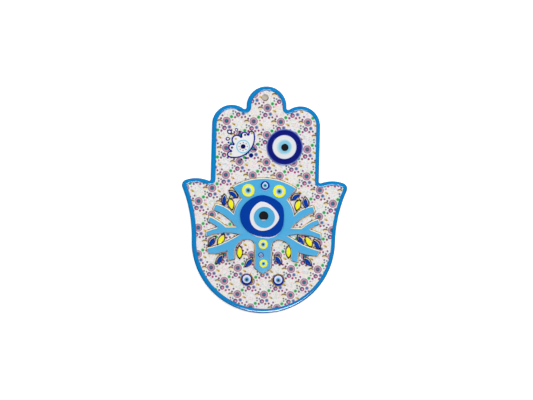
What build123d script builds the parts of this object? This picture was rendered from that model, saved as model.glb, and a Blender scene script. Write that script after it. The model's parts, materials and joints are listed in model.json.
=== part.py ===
from build123d import *
import os
from math import cos, hypot, radians, sin, sqrt

# A hamsa hand plaque made of glued layers. It is drawn lying on its back: x to the right of the hand's middle
# line, y up the hand from the hanging hole, z out of the front. Each piece is then stood up and moved, so
# that the hole's middle is at zero, the front faces -Y, the back lies at y = 0 and +Z is up.

# Board, rim and pocket
board_thickness = 6.0
rim_width = 3.7
pocket_shift = 0.4
outer_round_share = 0.58
inner_round_share = 0.3
back_round = 0.7
panel_thickness = 2.0
panel_recess = 0.8
panel_gap = 0.12
cut_overrun = 1.0

# Hanging hole
hole_diameter = 6.0
hole_shift = 1.3
hole_to_tip = 10.1

# Fingers, thumbs and palm
middle_finger_radius = 17.6
finger_block_half_width = 47.7
finger_overlap = 4.7
side_finger_drop = 6.8
finger_notch_radius = 1.7
thumb_top_radius = 28.0
thumb_drop = 72.2
thumb_inset = 3.2
thumb_notch_radius = 1.4
thumb_inner_tip_radius = 1.4
palm_side_radius = 120.0
palm_drop = 126.8
heel_radius = 63.3

# Eye tree
eye_drop = 104.7
tree_span_share = 0.85
tree_thickness = 1.2
underlay_thickness = 0.8
underlay_margin = 0.7
underlay_lift = 0.4

# Big eye, from its backing to its pupil
main_eye_radius = 18.9
main_eye_thickness = 1.0
main_eye_edge_round = 0.4
main_eye_backing_thickness = 0.4
main_eye_backing_inset = 2.2
main_eye_backing_drop = 3.1
main_eye_backing_shift = 0.5
main_eye_layer_thickness = 0.4
main_eye_layer_round = 0.15
main_iris_radius = 9.3
main_pupil_radius = 4.1
main_pupil_flat_share = 0.8
main_pupil_backing_thickness = 0.2
main_pupil_backing_inset = 0.1

# Beads on the tree and the heel
crown_bead_radius = 5.6
middle_bead_radius = 4.0
trunk_top_bead_radius = 4.1
trunk_middle_bead_radius = 2.3
trunk_bottom_bead_radius = 3.6
heel_bead_radius = 4.9
heel_collar_margin = 0.8
heel_collar_thickness = 0.5
bead_thickness = 0.8
bead_edge_round = 0.3
bead_layer_thickness = 0.3
bead_layer_round = 0.1
bead_white_share = 0.62
bead_iris_share = 0.43
bead_pupil_share = 0.22
bead_drop_tip_share = 1.35

# Leaves
blue_leaf_length = 8.2
blue_leaf_width = 3.3
yellow_leaf_length = 9.0
yellow_leaf_width = 3.65
leaf_tip_radius = 0.45
leaf_thickness = 0.7
leaf_frame_margin = 0.8
leaf_frame_lift = 0.4
leaf_frame_thickness = 0.9
leaf_gap = 0.06

# Nazar disc
nazar_radius = 15.5
nazar_white_radius = 10.6
nazar_iris_radius = 6.4
nazar_pupil_radius = 3.2
nazar_thickness = 1.6
nazar_edge_round = 0.7
nazar_layer_thickness = 0.5
nazar_layer_round = 0.2

# Lotus with an eye
lotus_half_width = 15.7
lotus_turn = 45.0
lotus_line = 0.95
lotus_backing_thickness = 0.7
lotus_body_thickness = 0.6
lotus_ring_radius = 6.05
lotus_ring_width = 0.95
lotus_pupil_radius = 2.1
lotus_pupil_notch_radius = 0.5
lotus_trim_thickness = 0.35
lotus_trim_round = 0.1
petal_dot_radius = 0.8
ray_dot_radius = 0.45
ray_dot_reach = 3.6
ray_dot_count = 8
lotus_drop_radius = 1.5
lotus_stud_radius = 0.88

# Levels above the back face
pocket_floor = board_thickness - panel_thickness - panel_recess
panel_front = pocket_floor + panel_thickness
underlay_front = panel_front + underlay_thickness
tree_front = underlay_front + tree_thickness
main_backing_front = tree_front + main_eye_backing_thickness
main_eye_front = main_backing_front + main_eye_thickness

# Centres of the outline's arcs
side_finger_radius = (finger_block_half_width - middle_finger_radius + finger_overlap) / 2
thumb_tip_radius = thumb_inner_tip_radius + rim_width
middle_centre = (0, hole_to_tip - middle_finger_radius)
side_centre = (finger_block_half_width - side_finger_radius, -side_finger_drop - side_finger_radius)
thumb_centre = (heel_radius - thumb_inset, -thumb_drop - thumb_top_radius)
palm_centre = (heel_radius + palm_side_radius, -palm_drop)
heel_centre = (0, -palm_drop)
panel_half_width = heel_radius - rim_width - panel_gap
thinnest_rim = rim_width - pocket_shift

# The tree is drawn in halves, in shares of half its span from the big eye's centre. A smooth stretch is an
# arc that goes on in the last one's direction, the first one level.
tree_half_span = panel_half_width * tree_span_share
eye_centre = (0, -eye_drop)
tree_start_share = (0, 0.654)
tree_outline_shares = [
    ("smooth", (0.547, 0.494)),
    ("line", (0.387, 0.294)),
    ("arc", (0.486, 0.146), (0.521, 0.002)),
    ("arc", (0.681, 0.134), (0.847, 0.186)),
    ("line", (0.883, 0.097)),
    ("arc", (0.687, 0), (0.468, -0.203)),
    ("line", (0.662, -0.207)),
    ("arc", (0.790, -0.109), (0.944, -0.036)),
    ("line", (0.970, -0.111)),
    ("arc", (0.869, -0.156), (0.792, -0.217)),
    ("arc", (0.889, -0.251), (0.990, -0.288)),
    ("line", (1.000, -0.373)),
    ("arc", (0.691, -0.298), (0.401, -0.328)),
    ("line", (0.563, -0.423)),
    ("smooth", (0.978, -0.585)),
    ("line", (0.940, -0.666)),
    ("arc", (0.770, -0.652), (0.612, -0.604)),
    ("arc", (0.608, -0.703), (0.596, -0.784)),
    ("line", (0.504, -0.757)),
    ("line", (0.504, -0.638)),
    ("smooth", (0.267, -0.401)),
    ("smooth", (0.137, -0.531)),
    ("line", (0.137, -0.903)),
    ("line", (0, -1.005)),
]
tree_point_share = tree_outline_shares[-1][1]

# The big eye's dark disc and its white, as shares of its radius round the eye's centre
main_disc_outline_shares = [
    (0.017, 0.987), (0.547, 0.788), (0.850, 0.500), (0.935, -0.030), (0.860, -0.540), (0.600, -0.850),
    (0.017, -0.958), (-0.644, -0.772), (-1.041, -0.323), (-1.080, 0.259), (-0.776, 0.693), (-0.380, 0.935),
]
main_white_outline_shares = [
    (-0.088, 0.685), (0.176, 0.612), (0.455, 0.405), (0.635, 0.175), (0.710, -0.048), (0.588, -0.325),
    (0.224, -0.615), (-0.035, -0.672), (-0.405, -0.560), (-0.628, -0.215), (-0.625, 0.175), (-0.385, 0.540),
]
main_iris_place_shares = (0.023, -0.042)
main_pupil_place_shares = (-0.009, 0.026)

# Beads on the crown: turn in degrees round the big eye, then how far out from its edge to the tree's reach
crown_bead_places_shares = {"left": (122.4, 0.248), "middle": (89.1, 0.262), "right": (59.7, 0.221)}
# Beads down the trunk: how far from the big eye to the tree's point, then sideways in bead radii
trunk_bead_places_shares = {"top": (0.158, -0.02), "middle": (0.460, -0.77), "bottom": (0.701, 0.18)}
# Beads on the heel: place from the tree's point, as shares of half the tree's span
heel_bead_places_shares = {"left": (-0.273, -0.103), "right": (0.277, -0.101)}

# Leaves: side, colour, place from the eye's centre as shares of half the tree's span, turn in degrees
leaf_places_shares = [
    ("left", "blue", (-0.540, 0.367), -39.5),
    ("left", "blue", (-0.699, 0.265), 87.5),
    ("left", "yellow", (-0.580, 0.200), -76.0),
    ("left", "yellow", (-0.736, -0.430), 58.0),
    ("left", "blue", (-0.897, -0.462), 55.0),
    ("left", "blue", (-0.754, -0.766), 56.0),
    ("left", "yellow", (-0.409, -0.644), 92.0),
    ("left", "blue", (-0.245, -0.813), 53.0),
    ("right", "blue", (0.543, 0.348), 38.5),
    ("right", "yellow", (0.588, 0.208), 76.0),
    ("right", "blue", (0.723, 0.251), -81.5),
    ("right", "blue", (0.652, -0.402), -60.0),
    ("right", "yellow", (0.792, -0.430), -58.0),
    ("right", "blue", (0.932, -0.470), -55.5),
    ("right", "yellow", (0.446, -0.613), 88.5),
    ("right", "blue", (0.265, -0.755), -52.5),
    ("right", "blue", (0.780, -0.775), -45.5),
]

# Nazar disc and lotus: x as a share of the finger block's half width, y of the drop to the big eye
nazar_place_shares = (0.353, -0.413)
lotus_place_shares = (-0.414, -0.416)
# The nazar's layers, as shares of its radius beside its centre
nazar_white_place_shares = (-0.010, 0.006)
nazar_iris_place_shares = (0.010, 0.016)
nazar_pupil_place_shares = (0.013, -0.016)

# Lotus: one half of its outline from the middle petal's tip, across and along, as shares of its half width
lotus_start_share = (0, 0.815)
lotus_outline_shares = [
    ("smooth", (0.299, 0.482)),
    ("arc", (0.611, 0.573), (0.675, 0.293)),
    ("arc", (0.904, 0.357), (1.000, 0.127)),
    ("arc", (0.580, -0.301), (0, -0.459)),
]
petal_dots_shares = [(0, 0.595), (0.535, 0.400), (-0.490, 0.390), (0.878, 0.203), (-0.790, 0.180)]
# Drops and studs round it: place as above, size as a share of the common radius, turn of the drop in degrees
lotus_drops_shares = [(0.020, 1.135, 1.2, 180.0), (0.387, 0.946, 0.8, 135.0), (-0.327, 0.920, 1.0, -135.0)]
lotus_studs_shares = [
    (0.643, -0.427, 0.7), (0.370, -0.586, 1.0), (-0.020, -0.667, 1.8), (-0.330, -0.580, 1.0),
    (-0.573, -0.464, 0.8), (0.435, 0.726, 0.9), (-0.440, 0.726, 0.8),
]


def along(centre, turn, reach):
    """The point that lies reach from centre, in the direction turn."""
    return (centre[0] + reach * cos(radians(turn)), centre[1] + reach * sin(radians(turn)))


def toward(start, end, reach):
    """The point that lies reach from start, on the line to end."""
    length = hypot(end[0] - start[0], end[1] - start[1])
    return (start[0] + (end[0] - start[0]) * reach / length, start[1] + (end[1] - start[1]) * reach / length)


def meeting(start, start_reach, end, end_reach):
    """The point at start_reach from start and end_reach from end, on the left of the line between them."""
    length = hypot(end[0] - start[0], end[1] - start[1])
    run = (start_reach**2 - end_reach**2 + length**2) / (2 * length)
    rise = sqrt(start_reach**2 - run**2)
    foot = toward(start, end, run)
    across = toward((0, 0), (start[1] - end[1], end[0] - start[0]), rise)
    return (foot[0] + across[0], foot[1] + across[1])


def round_stretch(centre, radius, start, end):
    """An arc of under a half turn about centre, from start to end."""
    middle = ((start[0] + end[0]) / 2, (start[1] + end[1]) / 2)
    return ThreePointArc(start, toward(centre, middle, radius), end)


def hand_face(inset):
    """The hand's outline, drawn in by inset. Every arc keeps its centre."""
    notch = meeting(middle_centre, middle_finger_radius + finger_notch_radius,
                    side_centre, side_finger_radius + finger_notch_radius)
    crook_reach = thumb_top_radius + thumb_notch_radius
    crook_x = finger_block_half_width + thumb_notch_radius
    crook = (crook_x, thumb_centre[1] + sqrt(crook_reach**2 - (thumb_centre[0] - crook_x) ** 2))
    tip = meeting(thumb_centre, thumb_top_radius - thumb_tip_radius,
                  palm_centre, palm_side_radius + thumb_tip_radius)

    top = (0, middle_centre[1] + middle_finger_radius - inset)
    notch_start = toward(middle_centre, notch, middle_finger_radius - inset)
    notch_end = toward(side_centre, notch, side_finger_radius - inset)
    side_top = (finger_block_half_width - inset, side_centre[1])
    crook_start = (finger_block_half_width - inset, crook[1])
    crook_end = toward(thumb_centre, crook, thumb_top_radius - inset)
    tip_start = toward(thumb_centre, tip, thumb_top_radius - inset)
    tip_end = toward(palm_centre, tip, palm_side_radius + inset)
    palm_end = (heel_radius - inset, heel_centre[1])
    bottom = (0, heel_centre[1] - heel_radius + inset)

    half = Curve() + [
        round_stretch(middle_centre, middle_finger_radius - inset, top, notch_start),
        round_stretch(notch, finger_notch_radius + inset, notch_start, notch_end),
        round_stretch(side_centre, side_finger_radius - inset, notch_end, side_top),
        Line(side_top, crook_start),
        round_stretch(crook, thumb_notch_radius + inset, crook_start, crook_end),
        round_stretch(thumb_centre, thumb_top_radius - inset, crook_end, tip_start),
        round_stretch(tip, thumb_tip_radius - inset, tip_start, tip_end),
        round_stretch(palm_centre, palm_side_radius + inset, tip_end, palm_end),
        round_stretch(heel_centre, heel_radius - inset, palm_end, bottom),
    ]
    return make_face(half + mirror(half, about=Plane.YZ))


def drawn_half(start, stretches, scale):
    """A closed face from one half's stretches, given as shares of scale and mirrored across the y axis."""
    edges = []
    heading = Vector(1, 0)
    here = (start[0] * scale, start[1] * scale)
    for kind, *stops in stretches:
        points = [here] + [(stop[0] * scale, stop[1] * scale) for stop in stops]
        if kind == "line":
            edges.append(Line(*points))
        elif kind == "arc":
            edges.append(ThreePointArc(*points))
        else:
            edges.append(TangentArc(*points, tangent=heading))
        heading = edges[-1] % 1
        here = points[-1]
    half = Curve() + edges
    return make_face(half + mirror(half, about=Plane.YZ))


def closed_curve(shares, scale):
    """A face inside one smooth closed curve through the given places."""
    return make_face(Spline([(x * scale, y * scale) for x, y in shares], periodic=True))


def slab(face, base, thickness, edge_round=0):
    """A flat piece from base up, with its front edge rounded."""
    solid = extrude(Pos(0, 0, base) * face, thickness)
    if edge_round:
        solid = fillet(solid.faces().sort_by(Axis.Z)[-1].edges(), edge_round)
    return solid


def disc(centre, radius, base, thickness, edge_round=0):
    """A round flat piece."""
    return slab(Pos(*centre) * Circle(radius), base, thickness, edge_round)


def leaf_face(length, width):
    """A pointed oval, made of two arcs, with its two tips rounded."""
    ends = (-length / 2, 0), (length / 2, 0)
    oval = make_face(Curve() + [
        ThreePointArc(ends[0], (0, width / 2), ends[1]),
        ThreePointArc(ends[1], (0, -width / 2), ends[0]),
    ])
    return fillet(oval.vertices(), leaf_tip_radius)


def drop_face(radius):
    """A circle with a point at its top."""
    tip = (0, radius * bead_drop_tip_share)
    lean = sqrt(1 - 1 / bead_drop_tip_share**2)
    shoulder = (radius * lean, radius / bead_drop_tip_share)
    point = make_face(Polyline((-shoulder[0], shoulder[1]), tip, shoulder, (0, 0), close=True))
    return Circle(radius) + point


def shifted(centre, shares, scale):
    """A place beside centre, given as shares of scale."""
    return (centre[0] + shares[0] * scale, centre[1] + shares[1] * scale)


nodes = {}

# Board with its rim, pocket and hole
hole = disc((-hole_shift, 0), hole_diameter / 2, -cut_overrun, board_thickness + 2 * cut_overrun)
board = extrude(hand_face(0), board_thickness)
board = fillet(board.faces().sort_by(Axis.Z)[-1].edges(), thinnest_rim * outer_round_share)
board = fillet(board.faces().sort_by(Axis.Z)[0].edges(), back_round)
board -= extrude(Pos(pocket_shift, 0, pocket_floor) * hand_face(rim_width), board_thickness)
crest = board.faces().sort_by(Axis.Z)[-1]
board = fillet(crest.inner_wires()[0].edges(), thinnest_rim * inner_round_share)
nodes["base_plaque"] = board - hole
panel_face = Pos(pocket_shift, 0) * hand_face(rim_width + panel_gap)
nodes["face_panel"] = slab(panel_face, pocket_floor, panel_thickness) - hole

# Eye tree on its underlay
tree_face = Pos(*eye_centre) * drawn_half(tree_start_share, tree_outline_shares, tree_half_span)
underlay_face = Pos(0, underlay_lift) * offset(tree_face, underlay_margin)
nodes["tree_underlay"] = slab(underlay_face, panel_front, underlay_thickness)
nodes["eye_tree"] = slab(tree_face, underlay_front, tree_thickness)

# Big eye, layer on layer
main_disc_face = Pos(*eye_centre) * closed_curve(main_disc_outline_shares, main_eye_radius)
backing_centre = (eye_centre[0] + main_eye_backing_shift, eye_centre[1] - main_eye_backing_drop)
backing_curve = closed_curve(main_disc_outline_shares, main_eye_radius - main_eye_backing_inset)
nodes["main_eye_backing"] = slab(Pos(*backing_centre) * backing_curve, tree_front, main_eye_backing_thickness)
nodes["main_eye_disc"] = slab(main_disc_face, main_backing_front, main_eye_thickness, main_eye_edge_round)
main_white_face = Pos(*eye_centre) * closed_curve(main_white_outline_shares, main_eye_radius)
nodes["main_eye_white"] = slab(
    main_white_face, main_eye_front, main_eye_layer_thickness, main_eye_layer_round)
iris_centre = shifted(eye_centre, main_iris_place_shares, main_eye_radius)
iris_base = main_eye_front + main_eye_layer_thickness
nodes["main_eye_iris"] = disc(
    iris_centre, main_iris_radius, iris_base, main_eye_layer_thickness, main_eye_layer_round)
pupil_centre = shifted(eye_centre, main_pupil_place_shares, main_eye_radius)
pupil_base = iris_base + main_eye_layer_thickness
nodes["main_pupil_backing"] = disc(
    pupil_centre, main_pupil_radius - main_pupil_backing_inset, pupil_base, main_pupil_backing_thickness)
pupil_cut = Pos(0, -main_pupil_radius * (1 + main_pupil_flat_share)) * Rectangle(
    2 * main_pupil_radius, 2 * main_pupil_radius)
nodes["main_eye_pupil"] = slab(
    Pos(*pupil_centre) * (Circle(main_pupil_radius) - pupil_cut),
    pupil_base + main_pupil_backing_thickness, main_eye_layer_thickness, main_eye_layer_round)

# Where each bead lies, its radius and the level that carries it
beads = {}
crown_radii = {"left": crown_bead_radius, "middle": middle_bead_radius, "right": crown_bead_radius}
for side, (turn, reach_share) in crown_bead_places_shares.items():
    reach = main_eye_radius + reach_share * (tree_half_span - main_eye_radius)
    beads["crown_bead_" + side] = (along(eye_centre, turn, reach), crown_radii[side], tree_front)
trunk_radii = {
    "top": trunk_top_bead_radius, "middle": trunk_middle_bead_radius, "bottom": trunk_bottom_bead_radius}
trunk_top = eye_centre[1] - main_eye_radius - (main_eye_backing_drop - main_eye_backing_inset)
tree_point = shifted(eye_centre, tree_point_share, tree_half_span)
for place, (down_share, shift_share) in trunk_bead_places_shares.items():
    radius = trunk_radii[place]
    centre = (radius * shift_share, trunk_top + down_share * (tree_point[1] - trunk_top))
    beads["trunk_bead_" + place] = (centre, radius, tree_front)
collars = []
for side, shares in heel_bead_places_shares.items():
    centre = shifted(tree_point, shares, tree_half_span)
    collars.append(disc(centre, heel_bead_radius + heel_collar_margin, panel_front, heel_collar_thickness))
    beads["heel_bead_" + side] = (centre, heel_bead_radius, panel_front + heel_collar_thickness)

# Beads: a coloured ring each, then a white, an iris and a pupil on it
whites = []
irises = []
pupils = []
for name, (centre, radius, base) in beads.items():
    nodes[name] = disc(centre, radius, base, bead_thickness, bead_edge_round)
    base += bead_thickness
    shape = drop_face if name == "crown_bead_middle" else Circle
    for layer, share in (whites, bead_white_share), (irises, bead_iris_share), (pupils, bead_pupil_share):
        layer_face = shape(radius * share) if layer is whites else Circle(radius * share)
        layer.append(slab(Pos(*centre) * layer_face, base, bead_layer_thickness, bead_layer_round))
        base += bead_layer_thickness
nodes["bead_whites"] = Compound(whites)
nodes["bead_irises"] = Compound(irises)
nodes["bead_pupils"] = Compound(pupils)
nodes["heel_bead_collars"] = Compound(collars)

# Leaves: each has a dark back and a coloured leaf on it, both cut clear of the tree and of earlier leaves
leaf_sizes = {"blue": (blue_leaf_length, blue_leaf_width), "yellow": (yellow_leaf_length, yellow_leaf_width)}
keep_clear = offset(underlay_face, leaf_gap)
leaf_backs = []
for number, (side, colour, shares, turn) in enumerate(leaf_places_shares, 1):
    length, width = leaf_sizes[colour]
    frame_length = length + 2 * leaf_frame_margin
    frame_width = width + 2 * leaf_frame_margin
    spot = Pos(*shifted(eye_centre, shares, tree_half_span)) * Rot(0, 0, turn)
    frame_spot = Pos(0, leaf_frame_lift) * spot
    back_face = (frame_spot * leaf_face(frame_length, frame_width) - keep_clear).faces().sort_by(SortBy.AREA)[-1]
    front_face = (spot * leaf_face(length, width) - keep_clear).faces().sort_by(SortBy.AREA)[-1]
    leaf_backs.append(slab(back_face, panel_front, leaf_frame_thickness))
    nodes[f"{colour}_leaf_{side}_{number}"] = slab(front_face, panel_front + leaf_frame_thickness, leaf_thickness)
    keep_clear += frame_spot * leaf_face(frame_length + 2 * leaf_gap, frame_width + 2 * leaf_gap)
nodes["leaf_frames"] = Compound(leaf_backs)

# Nazar disc
nazar_centre = (nazar_place_shares[0] * finger_block_half_width, nazar_place_shares[1] * eye_drop)
nodes["nazar_disc"] = disc(nazar_centre, nazar_radius, panel_front, nazar_thickness, nazar_edge_round)
nazar_layers = {
    "nazar_white": (nazar_white_place_shares, nazar_white_radius),
    "nazar_iris": (nazar_iris_place_shares, nazar_iris_radius),
    "nazar_pupil": (nazar_pupil_place_shares, nazar_pupil_radius),
}
layer_base = panel_front + nazar_thickness
for name, (shares, radius) in nazar_layers.items():
    centre = shifted(nazar_centre, shares, nazar_radius)
    nodes[name] = disc(centre, radius, layer_base, nazar_layer_thickness, nazar_layer_round)
    layer_base += nazar_layer_thickness

# Lotus with its eye, drawn upright and turned to the upper left
lotus_centre = (lotus_place_shares[0] * finger_block_half_width, lotus_place_shares[1] * eye_drop)
lotus_spot = Pos(*lotus_centre) * Rot(0, 0, lotus_turn)
lotus_face = drawn_half(lotus_start_share, lotus_outline_shares, lotus_half_width)
lotus_body_base = panel_front + lotus_backing_thickness
lotus_trim_base = lotus_body_base + lotus_body_thickness
nodes["lotus_backing"] = slab(lotus_spot * lotus_face, panel_front, lotus_backing_thickness)
nodes["lotus_body"] = slab(lotus_spot * offset(lotus_face, -lotus_line), lotus_body_base, lotus_body_thickness)
ring_face = Circle(lotus_ring_radius) - Circle(lotus_ring_radius - lotus_ring_width)
nodes["lotus_eye_ring"] = slab(lotus_spot * ring_face, lotus_trim_base, lotus_trim_thickness, lotus_trim_round)
lotus_pupil_face = Circle(lotus_pupil_radius) - Pos(0, -lotus_pupil_radius) * Circle(lotus_pupil_notch_radius)
nodes["lotus_eye_pupil"] = slab(
    Pos(*lotus_centre) * lotus_pupil_face, lotus_trim_base, lotus_trim_thickness, lotus_trim_round)
ray_dots = []
for number in range(ray_dot_count):
    spot = lotus_spot * Pos(*along((0, 0), number * 360 / ray_dot_count, ray_dot_reach))
    ray_dots.append(slab(spot * Circle(ray_dot_radius), lotus_trim_base, lotus_trim_thickness, lotus_trim_round))
nodes["lotus_ray_dots"] = Compound(ray_dots)


def scattered(rows, radius, base, shape):
    """Small flat pieces at rows of places round the lotus, each row with its own size and, in a drop, turn."""
    pieces = []
    for x_share, y_share, size_share, *turn in rows:
        spot = lotus_spot * Pos(x_share * lotus_half_width, y_share * lotus_half_width) * Rot(0, 0, *turn)
        pieces.append(slab(spot * shape(radius * size_share), base, lotus_trim_thickness, lotus_trim_round))
    return Compound(pieces)


petal_dot_rows = [(*place, 1) for place in petal_dots_shares]
nodes["lotus_petal_dots"] = scattered(petal_dot_rows, petal_dot_radius, lotus_trim_base, Circle)
nodes["lotus_drops"] = scattered(lotus_drops_shares, lotus_drop_radius, panel_front, drop_face)
nodes["lotus_studs"] = scattered(lotus_studs_shares, lotus_stud_radius, panel_front, Circle)

# Every piece is moved to the hole's middle, stood up with its front to -Y, and written under its own name
os.makedirs("parts", exist_ok=True)
for name, piece in nodes.items():
    export_step(Plane.XZ * Pos(hole_shift, 0, 0) * piece, f"parts/{name}.step")
    print(name, len(piece.solids()), "solids", round(piece.volume, 1), "mm3")
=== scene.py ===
import json
import math

import bmesh
import bpy
import numpy as np
from mathutils import Matrix, Vector

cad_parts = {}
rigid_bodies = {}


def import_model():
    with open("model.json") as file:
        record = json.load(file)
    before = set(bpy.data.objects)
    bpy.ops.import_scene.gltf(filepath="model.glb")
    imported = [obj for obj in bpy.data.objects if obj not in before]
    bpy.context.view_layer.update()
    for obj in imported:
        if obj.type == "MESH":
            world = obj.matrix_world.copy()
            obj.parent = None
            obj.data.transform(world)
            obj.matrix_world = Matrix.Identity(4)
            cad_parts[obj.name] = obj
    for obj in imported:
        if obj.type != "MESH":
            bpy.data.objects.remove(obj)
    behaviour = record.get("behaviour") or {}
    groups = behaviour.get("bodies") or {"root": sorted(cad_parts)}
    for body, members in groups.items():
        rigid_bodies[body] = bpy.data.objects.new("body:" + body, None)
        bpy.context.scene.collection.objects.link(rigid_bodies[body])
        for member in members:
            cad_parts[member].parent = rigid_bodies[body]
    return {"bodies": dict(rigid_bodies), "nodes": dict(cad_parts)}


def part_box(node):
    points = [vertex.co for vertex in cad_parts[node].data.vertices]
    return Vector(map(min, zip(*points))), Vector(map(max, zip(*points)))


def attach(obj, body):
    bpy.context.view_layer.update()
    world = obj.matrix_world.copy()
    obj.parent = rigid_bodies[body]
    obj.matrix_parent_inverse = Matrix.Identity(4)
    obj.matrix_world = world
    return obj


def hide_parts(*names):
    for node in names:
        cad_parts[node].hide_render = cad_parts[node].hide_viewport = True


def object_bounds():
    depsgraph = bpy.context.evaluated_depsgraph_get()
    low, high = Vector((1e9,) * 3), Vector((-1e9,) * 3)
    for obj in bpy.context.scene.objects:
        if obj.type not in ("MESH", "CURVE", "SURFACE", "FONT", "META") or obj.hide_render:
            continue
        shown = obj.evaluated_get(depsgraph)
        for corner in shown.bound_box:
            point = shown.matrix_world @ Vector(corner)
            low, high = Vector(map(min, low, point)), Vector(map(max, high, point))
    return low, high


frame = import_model()
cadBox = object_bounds()
nodes = frame["nodes"]
body = next(iter(frame["bodies"]))
mm = 0.001
print("frame:", len(nodes), "nodes on", body)

view = {
    "pixels": (533, 400),
    "holePixel": (265.22, 97.69),  # where the hanging hole's middle is in the photograph
    "perPixel": 0.882 * mm,  # how much of the hand's front one pixel shows
    "roll": math.radians(1.35),
    "distance": 2.6,  # in metres, from the front of the printed panel
    "sensor": 36.0,  # in millimetres, as a camera takes it
    "clip": (0.05, 20.0),
}


def makeCamera():  # straight on, far off, turned a little about its own axis
    across = (view["pixels"][0] / 2 - view["holePixel"][0]) * view["perPixel"]
    down = (view["pixels"][1] / 2 - view["holePixel"][1]) * view["perPixel"]
    turn = view["roll"]
    aim = Vector((
        across * math.cos(turn) + down * math.sin(turn),
        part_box("face_panel")[0].y,
        across * math.sin(turn) - down * math.cos(turn),
    ))
    data = bpy.data.cameras.new("camera")
    data.sensor_width = view["sensor"]
    data.lens = view["sensor"] * view["distance"] / (view["pixels"][0] * view["perPixel"])
    data.clip_start, data.clip_end = view["clip"]
    camera = bpy.data.objects.new("camera", data)
    bpy.context.scene.collection.objects.link(camera)
    camera.matrix_world = (
        Matrix.Translation(aim - Vector((0, view["distance"], 0)))
        @ Matrix.Rotation(math.radians(90), 4, "X")
        @ Matrix.Rotation(turn, 4, "Z")
    )
    bpy.context.scene.camera = camera
    bpy.context.scene.view_settings.view_transform = "Standard"


makeCamera()
print("camera: made")


def paint(red, green, blue):  # a colour as it looks on screen, 0 to 255, turned into light values
    shares = np.array([red, green, blue]) / 255
    light = np.where(shares <= 0.04045, shares / 12.92, ((shares + 0.055) / 1.055) ** 2.4)
    return (*light.tolist(), 1.0)


def toned(colour, factor):  # a colour made darker or lighter, each part at most 1
    return (*(min(1, part * factor) for part in colour[:3]), 1.0)


class Wire:  # a socket that sums can be written with
    def __init__(self, finish, socket):
        self.finish = finish
        self.socket = socket

    def __add__(self, other):
        return self.finish.sum("ADD", self, other)

    def __sub__(self, other):
        return self.finish.sum("SUBTRACT", self, other)

    def __rsub__(self, other):
        return self.finish.sum("SUBTRACT", other, self)

    def __mul__(self, other):
        return self.finish.sum("MULTIPLY", self, other)

    def __truediv__(self, other):
        return self.finish.sum("DIVIDE", self, other)

    def __rtruediv__(self, other):
        return self.finish.sum("DIVIDE", other, self)

    __radd__ = __add__
    __rmul__ = __mul__


class Finish:  # one material and its sheet of nodes
    def __init__(self, name, **fixed):
        self.material = bpy.data.materials.new(name)
        self.material.use_nodes = True
        self.sheet = self.material.node_tree
        self.shader = self.sheet.nodes["Principled BSDF"]
        for socket, value in fixed.items():
            self.shader.inputs[socket.replace("_", " ")].default_value = value

    def plug(self, value, socket):
        if isinstance(value, Wire):
            self.sheet.links.new(value.socket, socket)
        else:
            socket.default_value = value

    def add(self, kind, settings=None, sockets=None, out=0):
        node = self.sheet.nodes.new(kind)
        for key, value in (settings or {}).items():
            setattr(node, key, value)
        for key, value in (sockets or {}).items():
            self.plug(value, node.inputs[key])
        return Wire(self, node.outputs[out])

    def sum(self, operation, first, second=0.0, clamp=False):
        settings = {"operation": operation, "use_clamp": clamp}
        return self.add("ShaderNodeMath", settings, {0: first, 1: second})

    def vector(self, operation, first, sockets=None, out=0):
        sockets = {0: first, **(sockets or {})}
        return self.add("ShaderNodeVectorMath", {"operation": operation}, sockets, out)

    def blend(self, share, under, over):
        settings = {"data_type": "RGBA"}
        return self.add("ShaderNodeMix", settings, {"Factor": share, 6: under, 7: over}, out=2)

    def place(self):  # where a point is, in Object coordinates
        return self.add("ShaderNodeTexCoord", out=3)

    def along(self, axis):  # how far a point lies along one axis: 0 across, 1 towards the back, 2 up
        return self.add("ShaderNodeSeparateXYZ", None, {0: self.place()}, axis)

    def noise(self, size, detail=2.0, shift=0.0):  # a value from 0 to 1 that wanders in blots of about size
        spot = self.add("ShaderNodeMapping", None, {
            "Vector": self.place(),
            "Location": (shift / size, 0, 0),
            "Scale": (1 / size, 1 / size, 1 / size),
        })
        return self.add("ShaderNodeTexNoise", None, {"Vector": spot, "Scale": 1.0, "Detail": detail})

    def rise(self, value, start, end):  # 0 before start, 1 past end and even between them
        return self.add("ShaderNodeMapRange", None, {"Value": value, "From Min": start, "From Max": end})

    def reach(self, centre):  # how far a point lies from centre, seen straight from the front
        flat = self.vector("MULTIPLY", self.place(), {1: (1, 0, 1)})
        return self.vector("DISTANCE", flat, {1: (centre[0], 0, centre[1])}, out=1)

    def dent(self, height, depth):  # small dents in the surface, depth metres from 0 to 1 of height
        bump = self.add("ShaderNodeBump", None, {"Strength": 1.0, "Distance": depth, "Height": height})
        self.plug(bump, self.shader.inputs["Normal"])

    def colour(self, wire):
        self.plug(wire, self.shader.inputs["Base Color"])

    def rough(self, wire):
        self.plug(wire, self.shader.inputs["Roughness"])


enamel = {
    "shine": 0.1,
    "gloss": 0.2,  # how rough it is, and how much the clouds and the specks change that
    "cloudGloss": 0.12,
    "speckGloss": 0.08,
    "cloud": 14 * mm,
    "speck": 0.9 * mm,
    "speckDetail": 3.0,
    "speckShare": 0.6,  # of the wandering of the colour; the rest follows the clouds
    "peel": 1.6 * mm,  # width and depth of the orange-peel dents, and how plain they are
    "peelDepth": 0.008 * mm,
    "peelDetail": 1.0,
}


def wander(finish, colour, share, speck):
    # one colour that wanders in specks and in wide clouds, down by twice its share and up by its share, and
    # the two noises that it follows
    grain = finish.noise(speck, enamel["speckDetail"])
    cloud = finish.noise(enamel["cloud"])
    way = grain * enamel["speckShare"] + cloud * (1 - enamel["speckShare"])
    return finish.blend(way, toned(colour, 1 - 2 * share), toned(colour, 1 + share)), grain, cloud


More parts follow.
